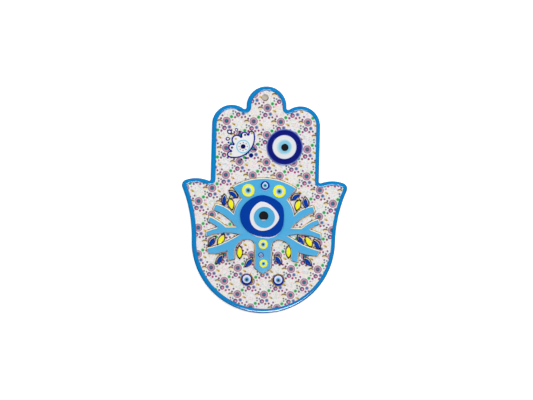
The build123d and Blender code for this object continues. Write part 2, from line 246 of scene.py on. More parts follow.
def enamelSurface(finish, grain, cloud, gloss):  # a faintly uneven gloss and an orange-peel surface
    finish.rough(gloss + (cloud - 0.5) * enamel["cloudGloss"] + (grain - 0.5) * enamel["speckGloss"])
    finish.dent(finish.noise(enamel["peel"], enamel["peelDetail"]), enamel["peelDepth"])


def lacquer(name, colour, share, gloss=enamel["gloss"]):  # enamel in one colour that wanders by its share
    finish = Finish(name, Specular_IOR_Level=enamel["shine"])
    shade, grain, cloud = wander(finish, colour, share, enamel["speck"])
    finish.colour(shade)
    enamelSurface(finish, grain, cloud, gloss)
    return finish.material


printed = {
    "period": 23.89 * mm,
    "origin": (2.32 * mm, -33.05 * mm),
    "turn": math.radians(0.25),  # beyond 45 degrees
    "keystone": 0.135,  # how much smaller the print gets, per metre down the hand
    "edge": 0.3 * mm,  # how soft the edge of a mark is
    "wobble": 0.5 * mm,  # how far the hand-drawn edges swing, and the width of their waves
    "wobbleWidth": 1.1 * mm,
    "roundWobble": 0.6,  # how much of that swing the round marks have
    "shine": 0.14,
    "gloss": 0.42,  # how rough it is, how much the clouds in it change that, and their width
    "cloudGloss": 0.12,
    "cloud": 2.3 * mm,
    "dents": 0.75 * mm,
    "dentDepth": 0.01 * mm,
    "ground": paint(239, 238, 243),
    "specks": [paint(242, 200, 218), paint(192, 218, 212), paint(240, 232, 204)],
    "speckSize": 1.15 * mm,
    "speckDetail": 1.5,
    "speckRise": (0.52, 0.66),  # where in the noise a speck starts to show, and where it is full
    "speckShift": 31 * mm,  # how far from one another the noises of the three specks are read
    # round marks: across, up, radius, all in millimetres, and colour; later ones lie on earlier ones
    "rounds": [
        (0.0, 0.0, 3.50, paint(96, 70, 104)),
        (0.0, 0.0, 2.95, paint(222, 176, 200)),
        (0.0, 0.0, 2.30, paint(142, 78, 118)),
        (0.0, 0.0, 1.85, paint(212, 168, 186)),
        (0.0, 0.0, 1.60, paint(40, 50, 92)),
        (0.0, 0.0, 0.95, paint(10, 130, 150)),
        (4.32, 3.79, 1.70, paint(190, 228, 200)),
        (4.32, 3.79, 1.35, paint(50, 176, 92)),
        (4.32, 3.79, 0.50, paint(60, 128, 66)),
        (7.50, 3.35, 1.00, paint(158, 62, 124)),
        (5.47, 0.97, 0.75, paint(190, 130, 168)),
        (-10.50, 3.44, 1.00, paint(160, 62, 116)),
        (-7.50, 3.88, 0.90, paint(132, 52, 118)),
        (-4.85, 2.21, 0.90, paint(112, 50, 104)),
        (-3.53, 4.85, 0.88, paint(134, 78, 132)),
        (2.65, -5.29, 1.85, paint(216, 176, 200)),
        (2.65, -5.29, 1.25, paint(52, 116, 168)),
        (-1.76, -6.17, 2.00, paint(58, 76, 120)),
        (-1.60, -6.35, 1.05, paint(218, 112, 152)),
        (-1.20, -6.55, 0.45, paint(240, 200, 208)),
        (-6.26, -3.26, 0.80, paint(98, 100, 120)),
        (-4.06, -3.97, 0.78, paint(104, 104, 130)),
        (-6.09, -5.56, 0.75, paint(112, 116, 130)),
    ],
    # bands of gold: across, up, half length and half height in millimetres, lean, how many half heights
    # below its middle a bite is taken out of it (0 for none), and colour
    "golds": [
        (-6.09, -0.60, 1.50, 0.70, 0.0, 0.0, paint(236, 216, 160)),
        (-6.09, 0.05, 2.20, 1.30, 0.0, 0.72, paint(124, 96, 16)),
        (6.17, -2.65, 1.75, 0.95, math.radians(-28), 0.0, paint(214, 180, 86)),
        (6.90, -3.10, 0.80, 0.55, math.radians(-28), 0.0, paint(150, 116, 36)),
    ],
    "bite": 0.8,  # the bite's size as a share of the band's
}


def panelPrint():
    # a square lattice turned by 45 degrees: every mark's distance is measured in coordinates that are
    # wrapped to one cell
    finish = Finish("panelPrint", Specular_IOR_Level=printed["shine"])
    half = printed["period"] / math.sqrt(2) / 2
    lattice = finish.add("ShaderNodeMapping", {"vector_type": "TEXTURE"}, {
        "Vector": finish.place(),
        "Location": (printed["origin"][0], 0, printed["origin"][1]),
        "Rotation": (0, math.radians(-45) - printed["turn"], 0),
    })
    spread = 1 / (1 + (finish.along(2) - printed["origin"][1]) * printed["keystone"])
    flat = finish.vector("SCALE", finish.vector("MULTIPLY", lattice, {1: (1, 0, 1)}), {3: spread})

    def wrapped(across, up):  # steps from the nearest copy of the place (across, up), along the turned axes
        spot = ((across + up) * mm / math.sqrt(2), 0, (up - across) * mm / math.sqrt(2))
        moved = finish.vector("SUBTRACT", flat, {1: spot})
        return finish.vector("WRAP", moved, {1: (half, half, half), 2: (-half, -half, -half)})

    def mask(distance, radius):  # 1 inside radius, 0 outside, soft over the print's own edge
        return finish.sum("MULTIPLY", (radius * mm - distance) / printed["edge"] + 0.5, 1.0, clamp=True)

    ground = printed["ground"]
    for number, tint in enumerate(printed["specks"]):
        blots = finish.noise(printed["speckSize"], printed["speckDetail"], number * printed["speckShift"])
        ground = finish.blend(finish.rise(blots, *printed["speckRise"]), ground, tint)

    wobble = (finish.noise(printed["wobbleWidth"]) - 0.5) * printed["wobble"]
    for across, up, long, high, lean, eaten, colour in printed["golds"]:
        steps = finish.add("ShaderNodeMapping", {"vector_type": "TEXTURE"}, {
            "Vector": wrapped(across, up),
            "Rotation": (0, math.radians(45) - lean, 0),
            "Scale": (long / high, 1, 1),
        })
        shape = mask(finish.vector("LENGTH", steps, out=1) + wobble, high)
        if eaten:
            lower = finish.vector("SUBTRACT", steps, {1: (0, 0, -high * eaten * mm)})
            shape = shape * (1 - mask(finish.vector("LENGTH", lower, out=1), high * printed["bite"]))
        ground = finish.blend(shape, ground, colour)

    measured = {}
    for across, up, radius, colour in printed["rounds"]:
        if (across, up) not in measured:
            steps = finish.vector("LENGTH", wrapped(across, up), out=1)
            measured[across, up] = steps + wobble * printed["roundWobble"]
        ground = finish.blend(mask(measured[across, up], radius), ground, colour)
    finish.colour(ground)
    finish.rough(printed["gloss"] + (finish.noise(printed["cloud"]) - 0.5) * printed["cloudGloss"])
    finish.dent(finish.noise(printed["dents"]), printed["dentDepth"])
    return finish.material


def dress(name, material):  # a CAD node wears this material alone
    mesh = nodes[name].data
    mesh.materials.clear()
    mesh.materials.append(material)


def middleOf(name):  # a node's middle, across and up
    low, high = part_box(name)
    return (low.x + high.x) / 2, (low.z + high.z) / 2


plaque = {
    "rim": paint(0, 136, 210),
    "rimWander": 0.04,
    "speck": 1.2 * mm,
    "shine": 0.06,
    "coatRough": 0.08,
    "gloss": 0.24,  # how rough the lacquer is, how much rougher the bare board, and what the specks change
    "bareRough": 0.55,
    "speckGloss": 0.06,
    "board": paint(178, 142, 100),
    "boardDark": paint(140, 106, 70),
    # the bare board burnt in the hole, and also the colour of the painted shadow behind the hole
    "burntAndShade": paint(118, 92, 70),
    "fibre": (0.7 * mm, 4.0),  # size and detail of the board's fibres
    "patch": (7 * mm, 5.0, 40 * mm),  # those of its dark patches, and how far off they are read
    "fibreShare": 0.45,  # how much of its mottling the fibres make
    "boardRise": (0.30, 0.70),  # where in the mottling the board is darkest, and where palest
    "paintEnd": 0.45 * mm,  # the lacquer stops this far in front of the back face
    "paintWave": 0.5 * mm,  # how much its end wanders, and how soft it is
    "paintSoft": 0.08 * mm,
    "holeRadius": 3.0 * mm,
    "holeRise": (0.1 * mm, 0.2 * mm),  # how far outside the hole the lacquer starts, and where it is full
    "dents": (0.5 * mm, 3.0),  # size and detail of the bare board's dents, and of the lacquer's
    "peel": (2.2 * mm, 1.0),
    "peelShare": 0.25,
    "dentDepth": 0.03 * mm,
}


def plaqueFinish():  # lacquer on the front and round the sides, bare fibreboard on the back and in the hole
    finish = Finish("plaqueLacquer", Specular_IOR_Level=plaque["shine"], Coat_Roughness=plaque["coatRough"])
    shade, grain, cloud = wander(finish, plaque["rim"], plaque["rimWander"], plaque["speck"])
    fibres = finish.noise(*plaque["fibre"]) * plaque["fibreShare"]
    pressed = fibres + finish.noise(*plaque["patch"]) * (1 - plaque["fibreShare"])
    board = finish.blend(finish.rise(pressed, *plaque["boardRise"]), plaque["boardDark"], plaque["board"])
    end = plaque["paintEnd"] + (cloud - 0.5) * plaque["paintWave"]
    back = finish.rise(finish.along(1) + end, 0.0, plaque["paintSoft"])
    start, full = (plaque["holeRadius"] + gap for gap in plaque["holeRise"])
    inHole = 1 - finish.rise(finish.reach((0, 0)), start, full)
    bare = finish.sum("MAXIMUM", back, inHole)
    finish.colour(finish.blend(bare, shade, finish.blend(inHole, board, plaque["burntAndShade"])))
    finish.rough(plaque["gloss"] + bare * plaque["bareRough"] + (grain - 0.5) * plaque["speckGloss"])
    finish.plug(1 - bare, finish.shader.inputs["Coat Weight"])
    peel = finish.noise(*plaque["peel"]) * plaque["peelShare"]
    finish.dent(finish.noise(*plaque["dents"]) * bare + peel, plaque["dentDepth"])
    return finish.material


burns = {
    "gold": paint(220, 166, 58),
    "brown": paint(112, 76, 22),
    "black": paint(34, 20, 14),
    "tree": (0.46, 1.02),  # where in the noise the brown starts, and the black
    "leaf": (0.20, 0.62),
    "brownRise": 0.16,  # how much farther on they are full
    "blackRise": 0.14,
    "dwell": (4.5 * mm, 3.0),  # size and detail of the noise of the brown
    "soot": (1.8 * mm, 2.0, 90 * mm),  # the same of what the black adds to it, and how far off that is read
    "dents": (0.4 * mm, 3.0),
    "dentDepth": 0.02 * mm,
    "shine": 0.08,
    "gloss": 0.65,
    "sootGloss": 0.1,
}


def burntFinish(name, brown, black):
    # the edge a laser leaves: gold where it ran fast, brown and black where it dwelt
    finish = Finish(name, Specular_IOR_Level=burns["shine"])
    dwell = finish.noise(*burns["dwell"])
    soot = finish.rise(finish.noise(*burns["soot"]) + dwell, black, black + burns["blackRise"])
    tone = finish.rise(dwell, brown, brown + burns["brownRise"])
    finish.colour(finish.blend(soot, finish.blend(tone, burns["gold"], burns["brown"]), burns["black"]))
    finish.rough(burns["gloss"] + (soot - 0.5) * burns["sootGloss"])
    finish.dent(finish.noise(*burns["dents"]), burns["dentDepth"])
    return finish.material


nazar = {
    "navy": paint(14, 30, 140),
    "deep": paint(8, 16, 104),
    "rim": paint(126, 150, 226),
    "white": paint(234, 234, 236),
    "nearNavy": paint(176, 190, 238),
    "iris": paint(138, 208, 236),
    "irisEdge": paint(196, 230, 240),
    "soft": 0.8 * mm,  # how wide the white runs into its neighbours
    "navySoft": 1.3 * mm,  # how wide the navy pales towards its rim, and the iris towards its own
    "irisSoft": 1.4 * mm,
    "softEnd": 0.1,  # how much of that width is as pale as the rim
    "irisRadius": 6.2 * mm,  # how far out the white begins
    "swirl": (3.0 * mm, 2.0, 50 * mm),  # size and detail of the swirls, and how far off they are read
    "waver": 0.3 * mm,  # how far the swirls push an edge
    "shine": 0.2,
    "coat": 0.3,
    "coatRough": 0.05,
    "gloss": 0.18,
    "swirlGloss": 0.06,
    "spill": 0.6 * mm,  # how far the navy glass has run out past the cut disc
    "points": 180,
    "round": 0.05,
}


def glassFinish(name, node, inner, outer, colours, spill=0.0):
    # fused glass: its colour runs into the inner one at the inner radius (0 for none), and into the outer
    # one within the outer width of its rim
    finish = Finish(name, Specular_IOR_Level=nazar["shine"], Coat_Weight=nazar["coat"],
                    Coat_Roughness=nazar["coatRough"])
    low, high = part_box(node)
    radius = (high.x - low.x) / 2 + spill
    reach = finish.reach(middleOf(node))
    swirl = finish.noise(*nazar["swirl"])
    shade = finish.blend(swirl, colours["body"], colours.get("swirl", colours["body"]))
    pushed = reach + (swirl - 0.5) * nazar["waver"]
    atRim = finish.rise(pushed, radius - outer, radius - nazar["softEnd"] * outer)
    shade = finish.blend(atRim, shade, colours["outer"])
    if inner:
        atMiddle = 1 - finish.rise(reach, inner, inner + nazar["soft"])
        shade = finish.blend(atMiddle, shade, colours["inner"])
    finish.colour(shade)
    finish.rough(nazar["gloss"] + (swirl - 0.5) * nazar["swirlGloss"])
    return finish.material


navyGlass = glassFinish("nazarNavy", "nazar_disc", 0, nazar["navySoft"], {
    "body": nazar["navy"], "swirl": nazar["deep"], "outer": nazar["rim"]}, nazar["spill"])
whiteGlass = glassFinish("nazarWhite", "nazar_white", nazar["irisRadius"], nazar["soft"], {
    "body": nazar["white"], "outer": nazar["nearNavy"], "inner": nazar["irisEdge"]})
irisGlass = glassFinish("nazarIris", "nazar_iris", 0, nazar["irisSoft"], {
    "body": nazar["iris"], "outer": nazar["irisEdge"]})


beadIris = {
    "tree": paint(92, 190, 216),
    "heel": paint(86, 172, 230),
    "wander": 0.05,
    "fade": 1.0 * mm,  # one colour gives way to the other between the trunk's tip and this far below it
}


def irisFinish():  # teal on the tree's beads, bluer on the two beads below it
    finish = Finish("beadIrisLacquer", Specular_IOR_Level=enamel["shine"])
    teal, grain, cloud = wander(finish, beadIris["tree"], beadIris["wander"], enamel["speck"])
    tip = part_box("eye_tree")[0].z
    onTree = finish.rise(finish.along(2), tip - beadIris["fade"], tip)
    finish.colour(finish.blend(onTree, beadIris["heel"], teal))
    enamelSurface(finish, grain, cloud, enamel["gloss"])
    return finish.material


markBlue = paint(14, 16, 96)
blueLacquer = lacquer("blueLacquer", paint(0, 62, 166), share=0.04)
heelLacquer = lacquer("heelLacquer", paint(2, 44, 150), share=0.06)
whiteLacquer = lacquer("whiteLacquer", paint(238, 236, 240), share=0.02)
beadWhite = lacquer("beadWhite", paint(226, 230, 246), share=0.03)
lavenderLacquer = lacquer("lavenderLacquer", paint(250, 246, 255), share=0.02)
creamLacquer = lacquer("creamLacquer", paint(246, 226, 208), share=0.03)
irisLacquer = lacquer("irisLacquer", paint(80, 176, 226), share=0.04)
pupilLacquer = lacquer("pupilLacquer", paint(33, 32, 35), share=0.2)
yellowLacquer = lacquer("yellowLacquer", paint(250, 250, 50), share=0.04)
beadPupil = lacquer("beadPupil", paint(58, 62, 60), share=0.2)
goldPaint = lacquer("goldPaint", paint(176, 138, 54), share=0.25)
lotusWhite = lacquer("lotusWhite", paint(240, 239, 241), share=0.02)
lotusLine = lacquer("lotusLine", paint(34, 26, 150), share=0.12)
lotusRing = lacquer("lotusRing", paint(140, 214, 238), share=0.05)
lotusMark = lacquer("lotusMark", markBlue, share=0.1)
dropLine = lacquer("dropLine", paint(34, 26, 128), share=0.15)
rayPaint = lacquer("rayPaint", paint(122, 84, 142), share=0.15)
studBlue = lacquer("studBlue", paint(10, 30, 132), share=0.15)
treePaint = lacquer("treePaint", paint(80, 177, 229), share=0.05, gloss=0.4)
creamBoard = lacquer("creamBoard", paint(255, 250, 228), share=0.02, gloss=0.5)
treeBurn = burntFinish("treeBurn", *burns["tree"])
leafBurn = burntFinish("leafBurn", *burns["leaf"])
leafCream = lacquer("leafCream", paint(250, 226, 160), share=0.1, gloss=0.5)
leafPaints = {
    "blue": lacquer("leafBlue", paint(2, 62, 172), share=0.05),
    "yellow": lacquer("leafYellow", paint(255, 253, 34), share=0.05),
}
print("lacquers: mixed")


petalDots = {
    "olive": paint(188, 180, 70),
    "paleOlive": paint(206, 196, 96),
    "blueFrom": (4.0 * mm, 4.2 * mm),  # how far to a side of the flower's own axis the dark blue starts
    "blueTo": (10.6 * mm, 10.8 * mm),  # and ends
    "grain": 0.6 * mm,
    "shine": 0.14,
    "gloss": 0.3,
}


def petalDotFinish():  # the middle dot and the outer two are olive, the two between them dark blue
    finish = Finish("petalDots", Specular_IOR_Level=petalDots["shine"], Roughness=petalDots["gloss"])
    slant = math.sqrt(0.5)  # the flower leans by 45 degrees
    middle = middleOf("lotus_eye_ring")
    across = finish.vector("DOT_PRODUCT", finish.place(), {1: (slant, 0, slant)}, out=1)
    aside = finish.sum("ABSOLUTE", across - (middle[0] + middle[1]) * slant)
    between = finish.rise(aside, *petalDots["blueFrom"]) * (1 - finish.rise(aside, *petalDots["blueTo"]))
    olive = finish.blend(finish.noise(petalDots["grain"]), petalDots["olive"], petalDots["paleOlive"])
    finish.colour(finish.blend(between, olive, markBlue))
    return finish.material


petalPaint = petalDotFinish()
wearing = {
    "base_plaque": plaqueFinish(),
    "face_panel": panelPrint(),
    "tree_underlay": creamBoard,
    "eye_tree": treePaint,
    "main_eye_backing": lavenderLacquer,
    "main_eye_disc": blueLacquer,
    "main_eye_white": whiteLacquer,
    "main_eye_iris": irisLacquer,
    "main_pupil_backing": creamLacquer,
    "main_eye_pupil": pupilLacquer,
    "crown_bead_left": yellowLacquer,
    "crown_bead_middle": blueLacquer,
    "crown_bead_right": yellowLacquer,
    "trunk_bead_top": yellowLacquer,
    "trunk_bead_middle": blueLacquer,
    "trunk_bead_bottom": yellowLacquer,
    "heel_bead_left": heelLacquer,
    "heel_bead_right": heelLacquer,
    "bead_whites": beadWhite,
    "bead_irises": irisFinish(),
    "bead_pupils": beadPupil,
    "heel_bead_collars": goldPaint,
    "leaf_frames": leafBurn,
    "nazar_disc": navyGlass,
    "nazar_white": whiteGlass,
    "nazar_iris": irisGlass,
    "nazar_pupil": pupilLacquer,
    "lotus_backing": lotusLine,
    "lotus_body": lotusWhite,
    "lotus_eye_ring": lotusRing,
    "lotus_eye_pupil": lotusMark,
    "lotus_ray_dots": rayPaint,
    "lotus_petal_dots": petalPaint,
    "lotus_drops": dropLine,
    "lotus_studs": studBlue,
}
for name in nodes:
    if "_leaf_" in name:
        wearing[name] = leafPaints[name.split("_")[0]]
for name, material in wearing.items():
    dress(name, material)
print("nodes dressed:", len(wearing))


slack = {
    "merge": 0.001 * mm,  # corners as near to one another as this are one corner
    "level": 0.01 * mm,  # corners as near to the back level as this lie on the back face
}


def outlineOf(spots):
    # the rim of a shape that its middle sees all of: its points in order of their turn round that middle
    middle = (spots.min(0) + spots.max(0)) / 2
    steps = spots - middle
    turns = np.arctan2(steps[:, 1], steps[:, 0])
    reach = np.hypot(steps[:, 0], steps[:, 1])
    order = np.argsort(turns)
    return middle, turns[order], reach[order]


def evenTurns(count):
    return np.linspace(-math.pi, math.pi, count, endpoint=False)


def resampled(turns, reach, count):  # the reach at even turns, read along the closed rim
    return np.interp(evenTurns(count), turns, reach, period=2 * math.pi)


def nearest(spots, places):  # the number of the place that each spot lies nearest to
    steps = spots[:, None, :] - places[None, :, :]
    return np.hypot(steps[:, :, 0], steps[:, :, 1]).argmin(1)


def backSpots(node):
    # where a node's back face has its corners, across and up, and the levels of its back and its front
    spots = np.array([corner.co for corner in nodes[node].data.vertices])
    back, front = spots[:, 1].max(), spots[:, 1].min()
    return spots[spots[:, 1] > back - slack["level"]][:, [0, 2]], back, front


def domed(name, middle, reach, profile, back, materials, zones=None):
    # reach(turn) scaled by each share of the profile, at the profile's height in front of the back level,
    # and closed by one middle point on each side
    rings, count = len(profile), len(reach)
    turns = evenTurns(count)
    shares, heights = np.array(profile).T
    across = middle[0] + shares[:, None] * (reach * np.cos(turns))[None, :]
    up = middle[1] + shares[:, None] * (reach * np.sin(turns))[None, :]
    deep = np.repeat((back - heights)[:, None], count, 1)
    ends = [[middle[0], back - heights[0], middle[1]], [middle[0], back - heights[-1], middle[1]]]
    points = np.vstack([np.stack([across, deep, up], -1).reshape(-1, 3), ends])
    ring, spot = np.meshgrid(np.arange(rings - 1) * count, np.arange(count), indexing="ij")
    after = (spot + 1) % count
    corners = [ring + spot, ring + after, ring + count + after, ring + count + spot]
    quads = np.stack(corners, -1).reshape(-1, 4)
    around = np.arange(count)
    onwards = (around + 1) % count
    lastRing = (rings - 1) * count
    backFan = np.stack([onwards, around, np.full(count, rings * count)], -1)
    frontFan = np.stack([lastRing + around, lastRing + onwards, np.full(count, rings * count + 1)], -1)
    mesh = bpy.data.meshes.new(name)
    mesh.from_pydata(points.tolist(), [], quads.tolist() + backFan.tolist() + frontFan.tolist())
    for material in materials:
        mesh.materials.append(material)
    if zones:  # which material each ring of faces wears, from the rim to the middle, and then the two fans
        worn = np.repeat(np.array([*zones, zones[0], zones[-1]], np.int32), count)
        mesh.polygons.foreach_set("material_index", worn)
    mesh.polygons.foreach_set("use_smooth", np.ones(len(mesh.polygons), bool))
    mesh.update()
    return mesh


dome = {
    "roundHeight": 0.6,  # how much of the thickness the rounded edge takes
    "roundSteps": 5,
    "crownRings": (0.85, 0.65, 0.4, 0.15),  # where the crown has its rings, as shares of its own reach
}


def roundedProfile(thickness, roundShare, crown):
    # from the back's rim straight forwards, over a quarter of an ellipse, which takes roundShare of the
    # reach, and on to near the middle in a crown, which falls with the square of the way out
    high = thickness * dome["roundHeight"]
    start = thickness - high - crown
    turns = np.linspace(0, math.pi / 2, dome["roundSteps"] + 1)[1:]
    curve = [(1 - roundShare * (1 - math.cos(turn)), start + high * math.sin(turn)) for turn in turns]
    edge = curve[-1][0]
    inner = [(edge * share, thickness - crown * share**2) for share in dome["crownRings"]]
    return [(1.0, 0.0), (1.0, start)] + curve + inner


def placed(name, mesh, replaced):  # a mesh as a piece that stands for the replaced nodes
    piece = bpy.data.objects.new(name, mesh)
    bpy.context.scene.collection.objects.link(piece)
    if replaced:
        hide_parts(*replaced)
    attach(piece, body)
    return piece


def joined(name, meshes, replaced):  # several worked-out meshes that wear the same, as one piece
    whole = bmesh.new()
    for mesh in meshes:
        whole.from_mesh(mesh)
    made = bpy.data.meshes.new(name)
    whole.to_mesh(made)
    whole.free()
    for material in meshes[0].materials:
        made.materials.append(material)
    for mesh in meshes:
        bpy.data.meshes.remove(mesh)
    placed(name, made, replaced)


soften = {
    "flat": math.radians(1),  # triangles that bend by less than this become one face
    "sharp": math.radians(50),  # front edges that bend by more than this are rounded off
    "steps": 3,
    "side": 0.5,  # a face that looks forwards or back by less than this is a side
    "face": 0.9,  # and one that does by more than this wears the face's material
    "farthest": 2.0,  # how many times the spread a sharp corner may move
}


def mergedMesh(node):  # a node's mesh with its loose triangles joined, to be worked on
    mesh = bmesh.new()
    mesh.from_mesh(nodes[node].data)
    bmesh.ops.remove_doubles(mesh, verts=mesh.verts, dist=slack["merge"])
    return mesh


def outward(corner):  # which way, seen from the front, a corner moves for its two sides to move out by one
    sides = [face.normal for face in corner.link_faces if abs(face.normal.y) < soften["side"]]
    way = sum(sides, Vector())
    if not way.length:
        return way
    way.normalize()
    return way / max(1 / soften["farthest"], way.dot(sides[0]))


def softenedCopy(node, name, width, faceMaterial, edgeMaterial, spread=0.0):
    # a copy of the node's mesh, its loose triangles joined into whole faces, its outline moved out by
    # spread and its front edges rounded off
    mesh = mergedMesh(node)
    bmesh.ops.dissolve_limit(
        mesh, angle_limit=soften["flat"], verts=mesh.verts, edges=mesh.edges, use_dissolve_boundaries=False)
    mesh.normal_update()
    ways = [outward(corner) for corner in mesh.verts]
    for corner, way in zip(mesh.verts, ways):
        corner.co += way * spread
    for face in mesh.faces:
        face.smooth = True
        face.material_index = 0 if abs(face.normal.y) > soften["face"] else 1
    weights = mesh.edges.layers.float.new("bevel_weight_edge")
    deep = [corner.co.y for corner in mesh.verts]
    middle = (min(deep) + max(deep)) / 2
    for edge in mesh.edges:
        inFront = all(corner.co.y < middle for corner in edge.verts)
        edge[weights] = float(inFront and edge.calc_face_angle(0) > soften["sharp"])
    made = bpy.data.meshes.new(name)
    mesh.to_mesh(made)
    mesh.free()
    made.materials.append(faceMaterial)
    made.materials.append(edgeMaterial)
    bevel = placed(name, made, [node]).modifiers.new("edges", "BEVEL")
    bevel.width = width
    bevel.segments = soften["steps"]
    bevel.limit_method = "WEIGHT"
    bevel.use_clamp_overlap = False  # else the shortest side of an arc narrows every edge
    bevel.material = 1


tree = {
    "burn": 0.68 * mm,  # width of the burnt line round the cream underlay
    "charred": 0.38 * mm,  # how far that line stands out past the cut edge
    "round": 0.12 * mm,  # width of the rounding of the blue tree's own edges
}
softenedCopy("tree_underlay", "treeUnderlay", tree["burn"], creamBoard, treeBurn,
             tree["charred"])
softenedCopy("eye_tree", "eyeTree", tree["round"], treePaint, treePaint)
print("tree: softened")


def makeNazar():  # the navy glass, round and a little wider than its cut disc
    spots, back, front = backSpots("nazar_disc")
    middle, _, reach = outlineOf(spots)
    rim = np.full(nazar["points"], reach.max() + nazar["spill"])
    disc = domed("disc", middle, rim, roundedProfile(back - front, nazar["round"], 0.0), back, [navyGlass])
    joined("nazarDisc", [disc], ["nazar_disc"])


makeNazar()
print("nazar: made")


anyStart = 6.3  # a wave may start anywhere in about a full turn


def waved(chance, numbers, fall, turns):
    # a sum of cosines round a rim, one for each number of waves: its height is drawn, and lower for more
    # waves by their number to the power of fall, and its start is drawn too
    return sum(chance.normal(0, 1 / number**fall) * np.cos(number * turns + chance.uniform(0, anyStart))
               for number in numbers)


leaf = {
    "seed": 7,
    "points": 96,  # corners round each leaf, and round each back
    "spread": {"blue": 1.07, "yellow": 1.0},  # how many times as far as the cut leaf the paint reaches
    "crown": 0.12 * mm,  # how high the paint stands in its middle
    "round": 0.10,  # how much of the reach its rounded edge takes
    "broad": 1.12,  # how much broader a back is than the cut one
    "ragged": 0.05,  # how far its rim wanders, and in how many waves
    "waves": (2, 3, 5, 8, 13),
    "tip": 0.10,  # how much farther it stands out at its tips, and how fast that fades from there
    "tipPower": 6,
    # its rings from the back's rim to near the middle: share of the reach and share of the thickness
    "profile": [(1.0, 0.0), (1.0, 0.8), (0.97, 0.97), (0.88, 1.0), (0.76, 0.97), (0.66, 0.94), (0.4, 0.94),
                (0.2, 0.94)],
    "burntRings": 4,  # how many rings of faces from the rim are burnt; the others are cream
}


def leafFrame(spots, back, front, chance):
    # one leaf's back: its rim wanders by a few slow waves and stands out at the tips, and a burnt line runs
    # round its cream face
    middle, turns, reach = outlineOf(spots)
    reach = resampled(turns, reach, leaf["points"])
    waves = waved(chance, leaf["waves"], 1, evenTurns(len(reach)))
    atTip = (reach / reach.max()) ** leaf["tipPower"]  # 1 where the leaf reaches farthest
    reach = reach * (leaf["broad"] + leaf["ragged"] * waves + leaf["tip"] * atTip)
    profile = [(share, (back - front) * height) for share, height in leaf["profile"]]
    zones = [int(ring >= leaf["burntRings"]) for ring in range(len(profile) - 1)]
    return domed("leafFrame", middle, reach, profile, back, [leafBurn, leafCream], zones)


def makeLeaves():  # each painted leaf with a rounded edge and a crown, and then their backs as one piece
    chance = np.random.default_rng(leaf["seed"])
    middles = []
    for name in sorted(nodes):
        if "_leaf_" not in name:
            continue
        colour, _, side, number = name.split("_")
        spots, back, front = backSpots(name)
        middle, turns, reach = outlineOf(spots)
        middles.append(middle)
        reach = resampled(turns, reach, leaf["points"]) * leaf["spread"][colour]
        profile = roundedProfile(back - front, leaf["round"], leaf["crown"])
        mesh = domed(name, middle, reach, profile, back, [leafPaints[colour]])
        joined(f"{colour}Leaf{side.title()}{number}", [mesh], [name])
    spots, back, front = backSpots("leaf_frames")
    owner = nearest(spots, np.array(middles))
    frames = [leafFrame(spots[owner == number], back, front, chance) for number in range(len(middles))]
    joined("leafFrames", frames, ["leaf_frames"])


makeLeaves()
print("leaves: made")


collar = {
    "seed": 11,
    "points": 120,
    "ragged": 0.035,  # how far the rim wanders, in how many waves, and how much lower more waves are
    "waves": (1, 2, 4, 7, 11),
    "fall": 0.5,
    "spurs": 4,  # how many spurs the paint has run out in, how far they reach, and how wide in radians
    "spurReach": (0.10, 0.26),
    "spurWidth": 0.07,
    "round": 0.06,
    "crown": 0.02 * mm,
}


def makeCollars():
    # gold paint that has run out unevenly round the two heel beads: waves and a few bell-shaped spurs
    chance = np.random.default_rng(collar["seed"])
    spots, back, front = backSpots("heel_bead_collars")
    left = spots[:, 0] < spots[:, 0].mean()
    profile = roundedProfile(back - front, collar["round"], collar["crown"])
    rings = []
    for part in (spots[left], spots[~left]):
        middle, turns, reach = outlineOf(part)
        reach = resampled(turns, reach, collar["points"])
        even = evenTurns(len(reach))
        waves = waved(chance, collar["waves"], collar["fall"], even)
        spurs = 0
        for turn in chance.uniform(-math.pi, math.pi, collar["spurs"]):
            off = np.angle(np.exp(1j * (even - turn))) / collar["spurWidth"]
            spurs = spurs + np.exp(-(off**2)) * chance.uniform(*collar["spurReach"])
        reach = reach * (1 + collar["ragged"] * waves + spurs)
        rings.append(domed("collar", middle, reach, profile, back, [goldPaint]))
    joined("heelBeadCollars", rings, ["heel_bead_collars"])


makeCollars()
print("collars: made")


heelWhite = {"grow": 1.18, "lift": 0.5 * mm}  # how many times as wide as the cut disc, and how far up


def makeWhites():  # the beads' whites; on the heel the paint has run out wider, and most of all upwards
    mesh = mergedMesh("bead_whites")
    for name in ("heel_bead_left", "heel_bead_right"):
        across, up = middleOf(name)
        low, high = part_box(name)
        for corner in mesh.verts:
            if low.x < corner.co.x < high.x and low.z < corner.co.z < high.z:
                corner.co.x = across + (corner.co.x - across) * heelWhite["grow"]
                corner.co.z = up + (corner.co.z - up) * heelWhite["grow"] + heelWhite["lift"]
    whites = bpy.data.meshes.new("whites")
    mesh.to_mesh(whites)
    mesh.free()
    whites.materials.append(beadWhite)
    joined("beadWhites", [whites], ["bead_whites"])


makeWhites()
print("bead whites: made")


paleCrescent = {
    "drop": 0.55 * mm,  # how far below its bead's middle each crescent has its own
    "broad": 0.96,  # its reach as a share of the bead's
    "thickness": 0.15 * mm,
    "round": 0.03,
    "points": 96,
}


def makePaleCrescents():  # pale crescents below the two small blue beads
    crescents = []
    for name in ("crown_bead_middle", "trunk_bead_middle"):
        across, up = middleOf(name)
        low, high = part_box(name)
        reach = np.full(paleCrescent["points"], (high.x - low.x) / 2 * paleCrescent["broad"])
        profile = roundedProfile(paleCrescent["thickness"], paleCrescent["round"], 0.0)
        middle = (across, up - paleCrescent["drop"])
        crescents.append(domed("paleCrescent", middle, reach, profile, high.y, [lavenderLacquer]))
    joined("beadCrescents", crescents, [])


makePaleCrescents()
print("glaze: made")


